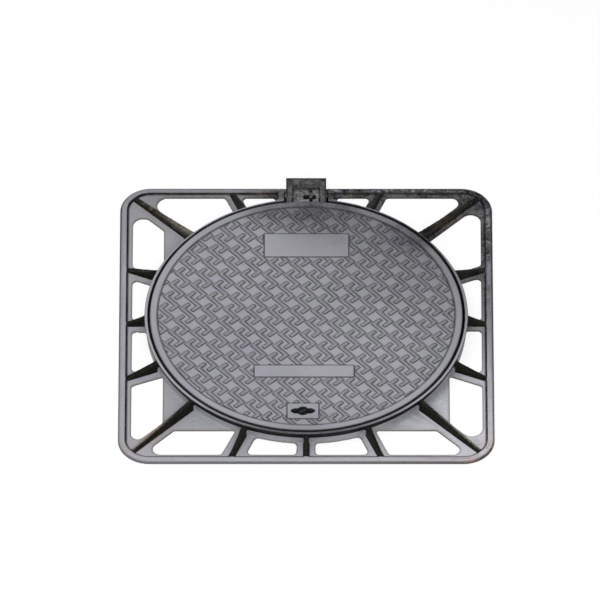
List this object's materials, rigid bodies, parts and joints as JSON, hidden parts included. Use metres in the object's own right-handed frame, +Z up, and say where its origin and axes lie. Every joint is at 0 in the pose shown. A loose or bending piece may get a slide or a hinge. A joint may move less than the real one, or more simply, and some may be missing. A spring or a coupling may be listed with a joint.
{
  "type": "manhole cover",
  "caption": "Round hinged access cover with a Z-bar tread, in a square ribbed cast frame with radial ribs, rear hinge box, rubber seat ring and quarter-turn lock.",
  "frame": {"origin": "centre of the square frame on its underside", "axes": "+Z up out of the road, +Y towards the hinge at the back, -Y towards the lock at the front"},
  "size_m": [0.8, 0.8, 0.0385],
  "materials": {
    "frame_iron": "bitumen-painted ductile iron casting, grey with black ribs and light rust on the edges",
    "cover_iron": "grey painted ductile iron casting, satin",
    "hinge_iron": "rough bitumen-dipped casting, nearly black",
    "steel": "zinc-plated steel",
    "lock_steel": "stainless steel, dull",
    "rubber": "moulded black EPDM rubber",
    "nylon": "black nylon"
  },
  "bodies": {
    "frame": {"frame_casting": "frame_iron", "seat_gasket": "rubber", "hinge_box": "hinge_iron", "hinge_box_screw_left": "steel", "hinge_box_screw_right": "steel", "hinge_pin": "steel", "pin_clip_left": "steel", "pin_clip_right": "steel"},
    "cover": {"cover_casting": "cover_iron", "thrust_washer_left": "nylon", "thrust_washer_right": "nylon", "pin_spacer": "steel", "lock_barrel": "lock_steel", "barrel_seal": "rubber", "barrel_nut": "steel"},
    "lock": {"lock_spindle": "lock_steel", "wave_spring": "steel", "lock_cam": "steel", "cam_washer": "steel", "cam_screw": "steel"}
  },
  "joints": [
    {"name": "cover_hinge", "type": "hinge", "parent": "frame", "child": "cover", "pos_m": [0, 0.362, 0.0215], "axis": [-1, 0, 0], "range_deg": [0, 105]},
    {"name": "lock_turn", "type": "hinge", "parent": "cover", "child": "lock", "pos_m": [-0.007, -0.2775, 0.01], "axis": [0, 0, 1], "range_deg": [0, 90]}
  ]
}
